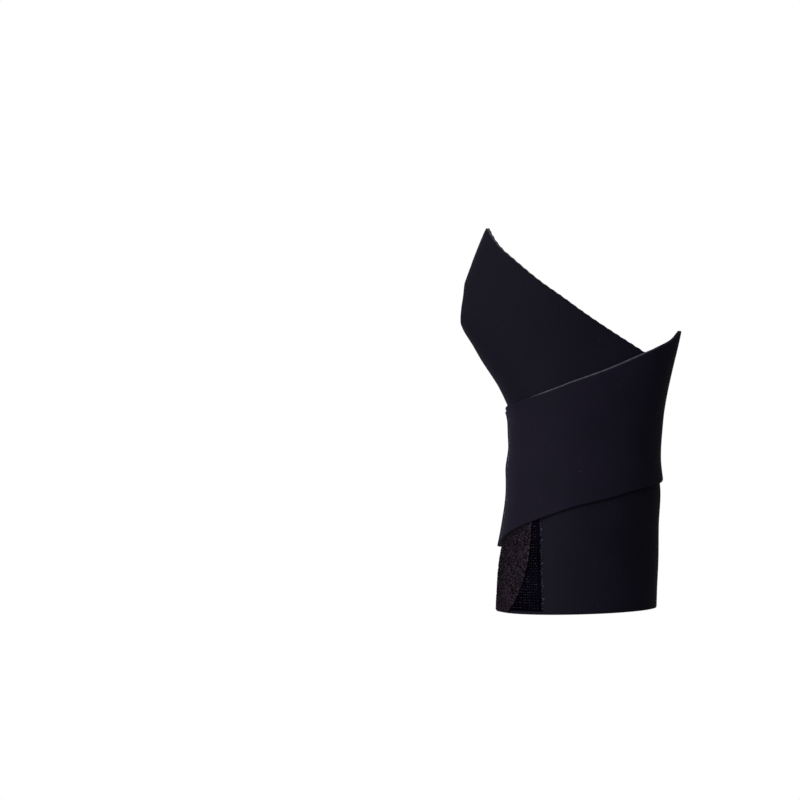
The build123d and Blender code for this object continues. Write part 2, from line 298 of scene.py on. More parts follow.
def threads(name, lines, radius, outward, sides, material):
    """Many short round threads in one mesh. lines is (thread, point, xyz), radius (thread, point),
    outward (thread, xyz). Each ring lies square to its line: centre + r (cos a side + sin a up). Each
    thread has a tone of its own, from 0 to 1, that its material may read."""
    count, points = lines.shape[:2]
    along = np.gradient(lines, axis=1)
    along /= np.linalg.norm(along, axis=-1, keepdims=True) + 1e-12
    side = np.cross(along, outward[:, None, :])
    side /= np.linalg.norm(side, axis=-1, keepdims=True) + 1e-12
    up = np.cross(side, along)
    angle = np.linspace(0, 2 * np.pi, sides, endpoint=False)
    ring = np.cos(angle)[:, None] * side[:, :, None] + np.sin(angle)[:, None] * up[:, :, None]
    verts = lines[:, :, None] + radius[:, :, None, None] * ring
    body = grid_faces(points, sides, True)
    last = (points - 1) * sides
    start = (np.arange(count) * points * sides)[:, None, None]
    tube = (body[None] + start).reshape(-1, 4)
    caps = np.stack([np.arange(sides), last + np.arange(sides)[::-1]])
    caps = (caps[None] + start).reshape(-1, sides)
    piece = make_object(name, verts, tube.tolist() + caps.tolist(), None, material)
    tone = np.random.default_rng(SEED).uniform(0, 1, count).repeat(points * sides)
    piece.data.attributes.new("tone", "FLOAT", "POINT").data.foreach_set("value", tone.astype(np.float32))
    return piece


def normals_at(turn, height, rise):
    """Unit outward directions on the limb: the way a point goes as its rise grows, made square to
    the surface by taking the cross product of its two slopes."""
    d_turn = limb(turn + 0.5, height, rise) - limb(turn - 0.5, height, rise)
    d_height = limb(turn, height + 0.5 * MM, rise) - limb(turn, height - 0.5 * MM, rise)
    normal = np.cross(d_height, d_turn)
    return normal / np.linalg.norm(normal, axis=-1, keepdims=True)


def enter(piece, slot, ride, *nodes):
    """Hides the CAD nodes that a finished piece replaces and makes the piece ride on its body. slot is not
    used.
    """
    if nodes:
        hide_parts(*nodes)
    ride(piece)


def stitch_row(name, turns, heights, rises, radius, loft, ride, *nodes, colour="black"):
    """A row of sewn stitches through needle holes at the given turns and heights: each one arches
    from hole to hole, loft high in its middle, and thins to its ends. radius and loft are in mm."""
    holes = limb(turns, heights, rises)
    normal = normals_at(turns, heights, rises)
    t = np.linspace(0, 1, 5)[None, :, None]
    lines = holes[:-1, None] * (1 - t) + holes[1:, None] * t
    lines = lines + np.sin(np.pi * t) * loft * MM * normal[:-1, None]
    radii = radius * MM * (0.55 + 0.45 * np.sin(np.pi * t[..., 0])) * np.ones((len(lines), 1))
    row = threads(name, lines, radii, normal[:-1], 6, finish_of(f"{colour} thread"))
    enter(row, "thread" if colour == "black" else "pale_thread", ride, *nodes)


# ---------------------------------------------------------------- materials


def feed(tree, socket, value):
    """Links a socket to a socket, or gives it a plain value. None leaves it as it is."""
    if hasattr(value, "is_linked"):
        tree.links.new(value, socket)
    elif value is not None:
        socket.default_value = value


def node(tree, kind, at, **values):
    """A shader node of that kind: its settings by name, and its inputs by name, linked or plain."""
    made = tree.nodes.new(kind)
    made.location = (at[0] * 200, at[1] * -160)
    for key, value in values.items():
        if hasattr(made, key):
            setattr(made, key, value)
        else:
            feed(tree, made.inputs[key.replace("_", " ")], value)
    return made


def math_node(tree, operation, a, b, at, c=None):
    """A Math node's result from a, b and c, which are sockets to link or plain numbers."""
    made = node(tree, "ShaderNodeMath", at, operation=operation)
    for socket, value in zip(made.inputs, (a, b, c)):
        feed(tree, socket, value)
    return made.outputs[0]


def mapped(tree, value, low, high, at):
    """A Map Range node's result, which takes low to 0 and high to 1."""
    return node(tree, "ShaderNodeMapRange", at, Value=value, From_Min=low, From_Max=high).outputs[0]


def new_group(name, inputs, outputs):
    """An empty shader group with its sockets: name to (kind, default) in, name to kind out."""
    tree = bpy.data.node_groups.new(name, "ShaderNodeTree")
    for label, (kind, default) in inputs.items():
        socket = tree.interface.new_socket(label, in_out="INPUT", socket_type=kind)
        if default is not None:
            socket.default_value = default
    for label, kind in outputs.items():
        tree.interface.new_socket(label, in_out="OUTPUT", socket_type=kind)
    start = node(tree, "NodeGroupInput", (-5, 0))
    end = node(tree, "NodeGroupOutput", (6, 0))
    return tree, start.outputs, end.inputs


def knit_group():
    """Jersey knit: columns of V-shaped stitches. Height is a rounded ridge for each column, times a
    wave up the column whose phase bends with the distance from the column's middle. Shade is that
    ridge and wave times a patchy noise: painted shade in the grooves between the columns and the
    rows, with lighter and darker patches at random."""
    floats = "NodeSocketFloat"
    tree, start, end = new_group(
        "Knit",
        {
            "Cloth": ("NodeSocketVector", None), "Column": (floats, 0.62), "Row": (floats, 0.5),
            "Slub": (floats, 0.3),
        },
        {"Height": floats, "Shade": floats},
    )
    split = node(tree, "ShaderNodeSeparateXYZ", (-4, 0), Vector=start["Cloth"])
    across = math_node(tree, "MULTIPLY", split.outputs[0], MM_PER_UV, (-3, -1))
    up = math_node(tree, "MULTIPLY", split.outputs[1], MM_PER_UV, (-3, 1))
    columns = math_node(tree, "DIVIDE", across, start["Column"], (-2, -1))
    rows = math_node(tree, "DIVIDE", up, start["Row"], (-2, 1))
    fold = math_node(tree, "PINGPONG", columns, 0.5, (-1, -1))
    half_turn = math_node(tree, "MULTIPLY", fold, math.pi, (0, -2))
    ridge = math_node(tree, "SINE", half_turn, None, (1, -2))
    bent = math_node(tree, "ADD", rows, fold, (0, 1))
    whole_turn = math_node(tree, "MULTIPLY", bent, 2 * math.pi, (1, 1))
    wave = math_node(tree, "SINE", whole_turn, None, (2, 1))
    loops = math_node(tree, "MULTIPLY_ADD", wave, 0.3, (3, 1), 0.7)
    yarn = math_node(tree, "MULTIPLY", ridge, loops, (4, 0))
    fibre = node(tree, "ShaderNodeTexNoise", (0, 3), Vector=start["Cloth"], Scale=240.0, Detail=2.0)
    uneven = math_node(tree, "MULTIPLY", fibre.outputs[0], start["Slub"], (2, 3))
    patchy = math_node(tree, "MULTIPLY_ADD", fibre.outputs[0], 1.6, (3, 3), -0.3)
    tree.links.new(math_node(tree, "ADD", yarn, uneven, (5, 0)), end["Height"])
    # Shade: the ridge and wave times a patchy noise, painted shade in the knit's grooves with patches at
    # random.
    tree.links.new(math_node(tree, "MULTIPLY", yarn, patchy, (5, 2)), end["Shade"])
    return tree


def mottle_group():
    """Slow unevenness of a dyed fabric plus sparse pale lint. Colour is the base between a darker
    and a lighter tone by a soft noise in object space. Below 1 the Shade input darkens it by its dip
    times the depth input, and above 1 lightens it: painted shade in a knit's grooves, and in toned
    fibres tone at random with painted glints. Lint says how much of the specks shows."""
    tree, start, end = new_group(
        "Mottle",
        {
            "Dark": ("NodeSocketColor", (0.008, 0.007, 0.011, 1)),
            "Light": ("NodeSocketColor", (0.012, 0.011, 0.016, 1)),
            "Patch size": ("NodeSocketFloat", 60.0), "Shade": ("NodeSocketFloat", 1.0),
            "Relief": ("NodeSocketFloat", 0.35), "Lint": ("NodeSocketFloat", 0.0),
        },
        {"Colour": "NodeSocketColor", "Roughness": "NodeSocketFloat"},
    )
    place = node(tree, "ShaderNodeTexCoord", (-4, 2)).outputs["Object"]
    cloud = node(tree, "ShaderNodeTexNoise", (-3, 1), Vector=place, Scale=start["Patch size"], Detail=3.0)
    spread = mapped(tree, cloud.outputs[0], 0.3, 0.7, (-2, 1))
    ends = {"A": start["Dark"], "B": start["Light"]}
    tone = node(tree, "ShaderNodeMix", (-1, 0), data_type="RGBA", Factor=spread, **ends)
    # Dip of the Shade input below 1: painted shade for knits, and for fibres tone at random with painted
    # glints where they are toned.
    dip = math_node(tree, "SUBTRACT", 1.0, start["Shade"], (-2, 3))
    loss = math_node(tree, "MULTIPLY", dip, start["Relief"], (-1, 3))
    left = math_node(tree, "SUBTRACT", 1.0, loss, (0, 3))
    shaded = node(tree, "ShaderNodeVectorMath", (1, 0), operation="SCALE", Scale=left)
    tree.links.new(tone.outputs["Result"], shaded.inputs[0])
    specks = node(tree, "ShaderNodeTexNoise", (-1, 5), Vector=place, Scale=900.0, Detail=1.0)
    rare = mapped(tree, specks.outputs[0], 0.74, 0.80, (0, 5))
    lint = math_node(tree, "MULTIPLY", rare, start["Lint"], (1, 5))
    ends = {"A": shaded.outputs[0], "B": LINT_COLOUR}
    pale = node(tree, "ShaderNodeMix", (3, 0), data_type="RGBA", Factor=lint, **ends)
    tree.links.new(pale.outputs["Result"], end["Colour"])
    rough = math_node(tree, "MULTIPLY_ADD", cloud.outputs[0], 0.12, (3, 3), 0.7)
    tree.links.new(rough, end["Roughness"])
    return tree


def shared_group(name, build):
    """The named node group, built the first time that a material asks for it."""
    return bpy.data.node_groups.get(name) or build()


def dyed(name, dark, light, bump, sheen, specular, **mottling):
    """A material that the Mottle group colours, with a Bump node: (material, Mottle node, Bump node)."""
    material = bpy.data.materials.new(name)
    material.use_nodes = True
    material.diffuse_color = (*light, 1)
    tree = material.node_tree
    shader = tree.nodes["Principled BSDF"]
    group = shared_group("Mottle", mottle_group)
    colours = {"Dark": (*dark, 1), "Light": (*light, 1)}
    mottle = node(tree, "ShaderNodeGroup", (-3, 0), node_tree=group, **colours, **mottling)
    relief = node(tree, "ShaderNodeBump", (-3, 2), Strength=1.0, Distance=bump * MM)
    looks = {
        "Base Color": mottle.outputs["Colour"],
        "Roughness": mottle.outputs["Roughness"],
        "Normal": relief.outputs[0],
        "Sheen Weight": sheen,
        "Specular IOR Level": specular,
    }
    for key, value in looks.items():
        feed(tree, shader.inputs[key], value)
    return material, mottle, relief


def cloth_material(
    name, dark, light, column, row, bump, relief=0.5, sheen=0.02, specular=0.05, lint=0.0, slub=0.3
):
    """A knitted or woven fabric: the Mottle group colours it, the Knit group gives its relief and,
    through the colour, painted shade in the knit's grooves.
    """
    # relief is how far the painted shade in the knit's grooves darkens the colour.
    material, mottle, bumps = dyed(name, dark, light, bump, sheen, specular, Relief=relief, Lint=lint)
    tree = material.node_tree
    cloth = node(tree, "ShaderNodeUVMap", (-6, 0), uv_map="cloth").outputs[0]
    yarn = {"Cloth": cloth, "Column": column, "Row": row, "Slub": slub}
    knit = node(tree, "ShaderNodeGroup", (-5, 0), node_tree=shared_group("Knit", knit_group), **yarn)
    # The knit's Shade carries its painted groove shade into the colour.
    tree.links.new(knit.outputs["Shade"], mottle.inputs["Shade"])
    tree.links.new(knit.outputs["Height"], bumps.inputs["Height"])
    shader = tree.nodes["Principled BSDF"]
    shader.inputs["Sheen Roughness"].default_value = 0.45
    shader.inputs["Sheen Tint"].default_value = (0.75, 0.73, 1.0, 1)
    return material


def fibre_material(name, dark, light, scale, bump, sheen=0.02, specular=0.05, toned=False):
    """Felted, foamed or twisted stuff with no knit: fine noise in object space gives tone and relief.
    Where it is toned, tufts of one over the scale wide and each thread's own tone take it from
    dark to light instead. The fourth power of a thread's tone makes a few threads much lighter:
    tone at random, and painted glints of fibres catching the light."""
    mottling = {"Patch size": scale * (0.8 if toned else 0.3), "Relief": 0.9 if toned else 0.6}
    material, mottle, bumps = dyed(name, dark, light, bump, sheen, specular, **mottling)
    tree = material.node_tree
    place = node(tree, "ShaderNodeTexCoord", (-7, 0)).outputs["Object"]
    noise = {"Vector": place, "Scale": scale, "Detail": 4.0, "Roughness": 0.65}
    grain = node(tree, "ShaderNodeTexNoise", (-6, 1), **noise).outputs[0]
    shade = grain
    if toned:
        tuft = node(tree, "ShaderNodeTexVoronoi", (-6, 3), Vector=place, Scale=scale)
        split = node(tree, "ShaderNodeSeparateColor", (-5, 3), Color=tuft.outputs["Color"])
        clump = math_node(tree, "MULTIPLY", split.outputs[0], split.outputs[0], (-4, 3))
        tone = node(tree, "ShaderNodeAttribute", (-6, 5), attribute_name="tone")
        # Fourth power of the thread's tone: a few threads much lighter, partly tone at random and partly
        # painted glints.
        tone_and_glint = math_node(tree, "POWER", tone.outputs["Fac"], 4.0, (-5, 5))
        both = math_node(tree, "ADD", clump, tone_and_glint, (-3, 4))
        shade = math_node(tree, "ADD", both, -0.08, (-2, 4))
    tree.links.new(shade, mottle.inputs["Shade"])
    tree.links.new(grain, bumps.inputs["Height"])
    return material


def finish_of(name):
    """One of the brace's finishes by name, made once."""
    if name in bpy.data.materials:
        return bpy.data.materials[name]
    colours = settings().colours
    dye, pile = np.array(colours.knit), np.array(colours.plush)
    grey, thread = np.array(colours.core), np.array(colours.stitch)
    matt = {"sheen": 0.0, "specular": 0.0}
    # In jersey, relief is how far the painted shade in the knit's grooves darkens the colour.
    jersey = {"relief": 0.62, "lint": 0.05}
    # Dark, light, column, row, bump.
    knitted = {
        "black knit": (dye * 0.86, dye * 1.25, 0.62, 0.5, 0.05, jersey),
        "strap knit": (dye * 1.22, dye * 1.80, 0.55, 0.62, 0.05, jersey),
        "brushed lining": (dye * 0.9, dye * 1.5, 0.9, 0.8, 0.07, {"sheen": 0.1, "slub": 0.9}),
        "plush backing": (pile * 0.6, pile * 1.2, 0.8, 0.8, 0.08, {"slub": 0.8}),
        # The hook tape's dye is far darker than the knit's: partly its own dark colour, partly painted
        # shade of its hooks and of the flap over it.
        "hook tape with painted shade": (dye * 0.16, dye * 0.6, 0.9, 0.45, 0.06, matt),
    }
    # Dark, light, scale, bump.
    toned = {"toned": True}
    # In the toned finishes the lightest threads and hooks are partly painted glints.
    felted = {
        "grey foam core": (grey * 0.75, grey * 1.25, 2600.0, 0.05, {}),
        "plush pile": (pile * 0.4, pile * 7.6, 2000.0, 0.25, {"sheen": 0.0, "specular": 0.02, **toned}),
        "moulded hooks": (thread * 0.3, thread * 3.6, 900.0, 0.01, {"specular": 0.15, **toned}),
        "loop pile": (dye * 0.4, dye * 2.6, 1400.0, 0.12, toned),
        "black thread": (dye * 0.9, dye * 2.2, 3000.0, 0.02, toned),
        "pale thread": (thread * 0.35, thread * 1.8, 1400.0, 0.02, toned),
    }
    make = cloth_material if name in knitted else fibre_material
    *values, more = (knitted if name in knitted else felted)[name]
    return make(name, *values, **more)


# ---------------------------------------------------------------- shared shapes


def strap_rise(turn, height):
    """Rise of the strap's inside: on the sleeve at the little finger side and above the seam, over
    the flap at the thumb side, and over the loop patch at the palm."""
    h = height / MM
    flap = smoothstep(turn, 104, 134) * smoothstep(turn, 224, 207) * smoothstep(h, 60, 50)
    patch = smoothstep(turn, 222, 236) * smoothstep(h, 68, 58)
    tight = smoothstep(np.abs(turn - 185), 50, 25) * smoothstep(h, 62, 72)
    return MM * (1.34 - 0.05 * tight + 1.34 * flap + 1.28 * patch)


def strap_edges(turn):
    """Heights of the strap's two edges at a turn, in metres, from the strap's edge points."""
    top = [(turn_at(x, z), z) for x, z in STRAP_TOP_BACK]
    bottom = [(turn_at(x, z), z) for x, z in STRAP_BOTTOM_BACK]
    top = STRAP_TOP_TURNS + top + STRAP_TOP_ROUND
    bottom = STRAP_BOTTOM_TURNS + bottom + STRAP_BOTTOM_ROUND
    return (curve_through(turn, bottom)[..., 0] * MM, curve_through(turn, top)[..., 0] * MM)


def three_plies(
    name, turn, height, rise, share, uv, replaced, ride, finish, cut, trim=0.0, turned=(0.0, 0.0, 0.0),
    **shell,
):
    """A panel's lining, core and face as three closed solids on one grid. rise is the grid's inside.
    cut is the flat panel's width and length and the share of that rectangle it fills; it is not used. trim,
    in metres, is how far the face stops short of the core at the top edge. turned says how far, from 0
    to 1, the face's outermost points drop to the inside at the lower, the upper and the first edge,
    so that the face covers the cut."""
    fabric = settings().fabric
    base = np.broadcast_to(np.asarray(rise, float), np.broadcast(turn, height).shape)
    low = 0.0
    plies = (
        ("lining", fabric.lining, "brushed lining", "lining"),
        ("core", fabric.core, "grey foam core", "grey_core"), ("face", fabric.face, finish, "knit_face"),
    )
    for part, thickness, material, slot in plies:
        sink, inner_sink, rows, inner_rows = 0.0, 0.0, height, height
        at, inner_at = turn, turn
        first, last = turned[0] * (share <= 0), turned[1] * (share >= 1)
        side = turned[2] * (np.arange(base.shape[1]) == 0)
        if part == "face":
            rows = height - trim * smoothstep(share, 0.86, 1.0)
            inner_rows = rows + 0.08 * MM * (first - last)
            drop = np.clip(first + last + side, 0, 1)
            sink = rounded(share, 0.35 * fabric.face, 0.006) * (1 - drop) + (low + thickness) * drop
            inner_sink = low * drop
            inner_at = turn + 0.2 * side
        else:
            low_cut = turned[0] * smoothstep(share, 0.0055, 0.0)
            top_cut = turned[1] * smoothstep(share, 0.9945, 1.0)
            rows = inner_rows = height + 0.14 * MM * (low_cut - top_cut)
            at = inner_at = turn + 0.4 * side
        outer = limb(at, rows, base + low + thickness - sink)
        inner = limb(inner_at, inner_rows, base + low - inner_sink)
        piece = ply(f"{name}_{part}_cloth", outer, inner, uv, finish_of(material), **shell)
        enter(piece, slot, ride, *replaced[part])
        low += thickness + fabric.bond


def first_column_narrow(columns):
    """The columns' turns with one more just after the first, where a covered edge rounds over."""
    return np.insert(columns, 1, columns[0] + 0.25)


def layer(name, turn, height, rise, thickness, finish, slot, ride, *nodes):
    """A piece that is one layer of cloth on the limb. rise is the height of its inside."""
    outer, inner = limb(turn, height, rise + thickness), limb(turn, height, rise)
    piece = ply(name, outer, inner, cloth_uv(turn, height), finish_of(finish))
    enter(piece, slot, ride, *nodes)
    return piece


def plies_of(panel, extra=()):
    """The CAD nodes of a panel's three plies, with the same plies of other nodes joined in."""
    return {part: [f"{p}_{part}" for p in (panel, *extra)] for part in ("lining", "core", "face")}


def on_body(body):
    """A function that makes a piece ride on that body."""
    return lambda piece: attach(piece, body)


def over_strap_hinge(piece):
    """Fabric on the strap: bakes its place into its mesh. Nothing turns it with the strap's opening, across
    8 mm at the back of the wrist.
    """
    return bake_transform(piece)


def over_tab_hinge(piece):
    """Fabric on the tab: bakes its place into its mesh. Nothing turns it as the tab peels, across 7 mm just
    past the tab's hinge line.
    """
    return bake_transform(piece)


def over_flap_hinge(piece):
    """Fabric on the flap: bakes its place into its mesh. Nothing turns it as the flap lifts, from its sewn
    end to clear of the margin.
    """
    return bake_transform(piece)


# ---------------------------------------------------------------- settings


def number_setting(label, text, default, **more):
    """A number."""
    return bpy.props.FloatProperty(name=label, description=text, default=default, **more)


def length_setting(label, text, default):
    """A length in metres with a unit."""
    return number_setting(label, text, default, unit="LENGTH", precision=5)


def colour_setting(label, text, default):
    """A linear colour."""
    return bpy.props.FloatVectorProperty(
        name=label, description=text, default=default, subtype="COLOR", min=0, max=1, size=3
    )


def group_setting(kind, label, text):
    """A group of settings."""
    return bpy.props.PointerProperty(type=kind, name=label, description=text)


class BraceFabric(bpy.types.PropertyGroup):
    lining: length_setting("Lining", "Thickness of the brushed lining", 0.30 * MM)
    core: length_setting("Core", "Thickness of the foam core", 0.60 * MM)
    face: length_setting("Face", "Thickness of the knit face", 0.30 * MM)
    bond: length_setting("Bond", "Gap of glue between two plies", 0.02 * MM)
    laminate: length_setting("Laminate", "Thickness of the three plies together", 1.24 * MM)


class BraceShape(bpy.types.PropertyGroup):
    fold_depth: length_setting("Fold depth", "Depth of the tension folds", 0.16 * MM)
    scallop_depth: length_setting("Scallop depth", "How far the cut rim waves up and down", 0.10 * MM)
    scallop_length: length_setting("Scallop length", "Length of one wave of the cut rim", 3.1 * MM)
    bare_core: length_setting("Bare core", "Core that shows along the strap's upper edge", 0.34 * MM)


class BraceColours(bpy.types.PropertyGroup):
    knit: colour_setting("Knit", "Dye of the knit face", (0.0036, 0.0026, 0.0076))
    core: colour_setting("Core", "Foam core at the cut edges", (0.055, 0.053, 0.067))
    plush: colour_setting("Plush", "Pile of the closure flap", (0.0046, 0.0030, 0.0048))
    stitch: colour_setting("Stitch", "Thread of the zigzag row", (0.030, 0.026, 0.037))


class BraceStage(bpy.types.PropertyGroup):
    distance: length_setting("Camera distance", "From the camera to the middle of the brace", 2.5)
    height: number_setting("Camera height", "Angle above the horizon", math.radians(3.9), subtype="ANGLE")
    roll: number_setting("Camera roll", "Turn about its line of sight", math.radians(1.43), subtype="ANGLE")
    key: number_setting("Key light", "Power of the light on the left, in watts", 52)
    fill: number_setting("Fill light", "Power of the light above, in watts", 5)
    rear: number_setting("Rear light", "Power of the light behind, in watts", 24)
    sky: number_setting("Sky", "Brightness of the white surroundings", 0.40)


class BraceSettings(bpy.types.PropertyGroup):
    fabric: group_setting(BraceFabric, "Fabric", "Thickness of the plies")
    shape: group_setting(BraceShape, "Shape", "Small shapes of the cloth")
    colours: group_setting(BraceColours, "Colours", "Dyes and threads")
    stage: group_setting(BraceStage, "Stage", "Camera and lights")


# ---------------------------------------------------------------- pieces


def rim_height(turn):
    """Height of the hand panel's rim at each turn, in metres. On the back of the hand it is the
    curve through RIM_BACK, solved by stepping the height halfway to the curve's until it settles."""
    shape = settings().shape
    palm = curve_through(turn, RIM_PALM)[..., 0]
    side = curve_through(turn, RIM_SIDE)[..., 0]
    back = np.full(turn.shape, 110.0)
    for _ in range(60):
        across, _ = half_widths(turn, back * MM)
        x = (across + settings().fabric.laminate) / MM * np.cos(np.radians(turn))
        back = 0.5 * back + 0.5 * curve_through(x, RIM_BACK)[..., 0]
    height = np.where(turn >= 180, palm, np.where(turn < RIM_SIDE[-1][0], side, back))
    points = limb(turn, height * MM, shape.scallop_depth)
    step = np.linalg.norm(np.diff(points, axis=0, prepend=points[:1]), axis=-1)
    wave = np.sin(2 * np.pi * np.cumsum(step) / shape.scallop_length)
    calm = smoothstep(np.abs(turn - 180), 2, 9)
    return height * MM + shape.scallop_depth * wave * calm


def open_thumb_hole(turn, height):
    """Cuts the thumb hole in the panel's grid. Its outline is |dy/a|^n + |dz/b|^n = 1, seen from the
    thumb side. Quads with a corner inside go, and the corners left at the gap slide straight away
    from the hole's middle on to the outline. Gives the new turns and heights and the quads kept."""
    point = limb(turn, height, settings().fabric.laminate / 2)
    dy = point[..., 1] / MM - THUMB_HOLE_MIDDLE[0]
    dz = height / MM - THUMB_HOLE_MIDDLE[1]
    power = THUMB_HOLE_SQUARENESS
    size = (
        np.abs(dy / THUMB_HOLE_HALF[0]) ** power + np.abs(dz / THUMB_HOLE_HALF[1]) ** power
    ) ** (1 / power)
    inside = (size < 1) & (np.abs(turn - 180) < 70)
    quads = grid_faces(*turn.shape, True)
    keep = ~inside.ravel()[quads].any(axis=1)
    touched = np.zeros(turn.size, bool)
    touched[quads[~keep].ravel()] = True
    border = touched.reshape(turn.shape) & ~inside
    y = THUMB_HOLE_MIDDLE[0] + dy / np.maximum(size, 1e-6)
    z = THUMB_HOLE_MIDDLE[1] + dz / np.maximum(size, 1e-6)
    _, deep = half_widths(np.where(y > 0, 200.0, 160.0), z * MM)
    around = 180 + np.degrees(np.arcsin(np.clip(y * MM / (deep + settings().fabric.laminate / 2), -1, 1)))
    return np.where(border, around, turn), np.where(border, z * MM, height), keep


class BRACE_OT_hand_panel(bpy.types.Operator):
    """Builds the hand panel's three plies, with the thumb hole"""

    bl_idname = "brace.hand_panel"
    bl_label = "Hand panel"

    def execute(self, context):
        columns = np.linspace(0, 360, 320, endpoint=False)
        share = rows_of(92)[:, None]
        low = (SEAM_HEIGHT - 0.4) * MM
        height = low + share * (rim_height(columns)[None] - low)
        turn = np.broadcast_to(columns[None], height.shape)
        turn, height, keep = open_thumb_hole(turn, height)
        uv = cloth_uv(turn, height)
        three_plies(
            "hand_panel", turn, height, 0.0, share, uv, plies_of("hand_panel"), on_body("root"),
            "black knit", (0.150, 0.078, 0.55), closed=True, keep=keep,
        )
        return {"FINISHED"}


class BRACE_OT_cuff(bpy.types.Operator):
    """Builds the forearm cuff's three plies, open at the thumb side"""

    bl_idname = "brace.cuff"
    bl_label = "Forearm cuff"

    def execute(self, context):
        share = rows_of(74)[:, None]
        height = share * (SEAM_HEIGHT - 0.45) * MM
        _, deep = half_widths(200.0, height)
        start = 180 + np.degrees(np.arcsin(SLIT_Y[1] * MM / (deep + 0.6 * MM)))
        end = 540 + np.degrees(np.arcsin(SLIT_Y[0] * MM / (deep + 0.6 * MM)))
        columns = np.linspace(0, 1, 300)[None]
        turn = start + columns * (end - start)
        uv = cloth_uv(turn, height)
        three_plies(
            "cuff", turn % 360, height + 0 * turn, 0.0, share, uv, plies_of("cuff"), on_body("root"),
            "black knit", (0.136, 0.062, 1.0),
        )
        return {"FINISHED"}


class BRACE_OT_strap(bpy.types.Operator):
    """Builds the cross strap's stretch length, from its sewn root to the tab"""

    bl_idname = "brace.strap"
    bl_label = "Cross strap"

    def execute(self, context):
        columns = first_column_narrow(np.linspace(STRAP_ROOT_TURN, TAB_SEAM_TURN + 4, 330))
        low, high = strap_edges(columns)
        share = rows_of(62)[:, None]
        height = low + share * (high - low)
        turn = np.broadcast_to(columns, height.shape)
        uv = np.stack(np.broadcast_arrays(turn / 360 * STRAP_ROUND * 10, share * (high - low) * 10), -1)
        bare = smoothstep(columns, 131, 107) * smoothstep(columns, 34, 52)
        three_plies(
            "strap", turn, height, strap_rise(turn, height), share, uv,
            plies_of("strap_back", ["strap_side"]), over_strap_hinge, "strap knit", (0.084, 0.046, 1.0),
            trim=settings().shape.bare_core * bare, turned=(1.0, 1 - bare, 1.0),
        )
        return {"FINISHED"}


class BRACE_OT_tab(bpy.types.Operator):
    """Builds the strap's tab: three plies with rounded corners, its hook tape and its stitches"""

    bl_idname = "brace.tab"
    bl_label = "Strap tab"

    def execute(self, context):
        corner_columns = STRAP_END_TURN - 16 * np.linspace(1, 0, 26)[1:] ** 2
        columns = np.concatenate([np.linspace(TAB_SEAM_TURN - 3, STRAP_END_TURN - 16, 90), corner_columns])
        columns = first_column_narrow(columns)
        low, high = strap_edges(columns)
        cut = corner_cut((STRAP_END_TURN - columns) / 360 * TAB_ROUND, TAB_CORNER * MM)
        low, high = low + cut, high - cut
        share = rows_of(52)[:, None]
        height = low + share * (high - low)
        turn = np.broadcast_to(columns, height.shape)
        uv = np.stack(np.broadcast_arrays(turn / 360 * STRAP_ROUND * 10, height * 10), -1)
        lift = settings().fabric.laminate * smoothstep(turn, TAB_SEAM_TURN + 9, TAB_SEAM_TURN + 3)
        three_plies(
            "strap_tab", turn, height, strap_rise(turn, height) + lift + 0.03 * MM, share, uv,
            plies_of("strap_tab"), over_tab_hinge, "strap knit", (0.042, 0.046, 0.97),
            turned=(1.0, 1.0, 1.0),
        )
        tab_hook_tape()
        tab_stitches()
        return {"FINISHED"}


def rectangle_row(turns, heights, pitch):
    """Needle holes round a rectangle, as turns and heights: even steps of pitch along each side."""
    wide = (turns[1] - turns[0]) / 360 * RECTANGLE_ROUND
    across = max(2, round(wide / pitch))
    up = max(2, round((heights[1] - heights[0]) / pitch))
    corners = [(turns[i], heights[j]) for i, j in ((0, 0), (1, 0), (1, 1), (0, 1), (0, 0))]
    sides = zip(corners, corners[1:], (across, up, across, up))
    holes = np.concatenate([np.linspace(start, end, count) for start, end, count in sides])
    return holes[:, 0], holes[:, 1] * MM


def corner_cut(left, radius):
    """How far a rounded corner takes an edge in, where left is the length that is left to the end:
    radius - sqrt(radius^2 - (radius - left)^2)."""
    return radius - np.sqrt(np.maximum(radius**2 - np.maximum(radius - left, 0) ** 2, 0))


def hooks(name, turn, height, rise, ride, outward=1):
    """Rows of moulded hooks: each stands 0.3 mm off its tape and curls over along the turn. outward
    is 1 for hooks that point away from the limb and -1 for hooks that point to it."""
    foot = limb(turn, height, rise)
    up = outward * normals_at(turn, height, rise)
    ahead = limb(turn + 0.5, height, rise) - foot
    ahead /= np.linalg.norm(ahead, axis=-1, keepdims=True)
    ahead[::2] *= -1
    profile = MM * np.array([(0, -0.03), (0, 0.16), (0.05, 0.28), (0.16, 0.33), (0.25, 0.27), (0.26, 0.2)])
    lines = foot[:, None] + profile[None, :, :1] * ahead[:, None] + profile[None, :, 1:] * up[:, None]
    radius = MM * np.array([0.075, 0.06, 0.055, 0.05, 0.045, 0.03])[None] * np.ones((len(foot), 1))
    piece = threads(name, lines, radius, np.cross(ahead, up), 5, finish_of("moulded hooks"))
    enter(piece, "hook_tape", ride)


def tab_hook_tape():
    """The hook tape on the tab's inside, which holds the loop patch, and its hooks."""
    share = rows_of(30)[:, None]
    columns = np.linspace(250, 284, 50)[None]
    height = (24 + share * 29) * MM + 0 * columns
    turn = columns + 0 * height
    thickness = TAB_TAPE * MM
    rise = strap_rise(turn, height) - 0.01 * MM - thickness
    name, node_name = "tab_hook_tape_cloth", "strap_hook_tape"
    # Its dark finish is partly painted shade of its hooks.
    layer(name, turn, height, rise, thickness, "hook tape with painted shade", "hook_tape", over_tab_hinge, node_name)
    t, h = np.meshgrid(np.arange(251.5, 283, 2.4), np.arange(25, 52.5, 1.1) * MM, indexing="ij")
    t, h = t.ravel(), h.ravel()
    hooks("tab_hooks", t, h, strap_rise(t, h) - 0.30 * MM, over_tab_hinge, outward=-1)


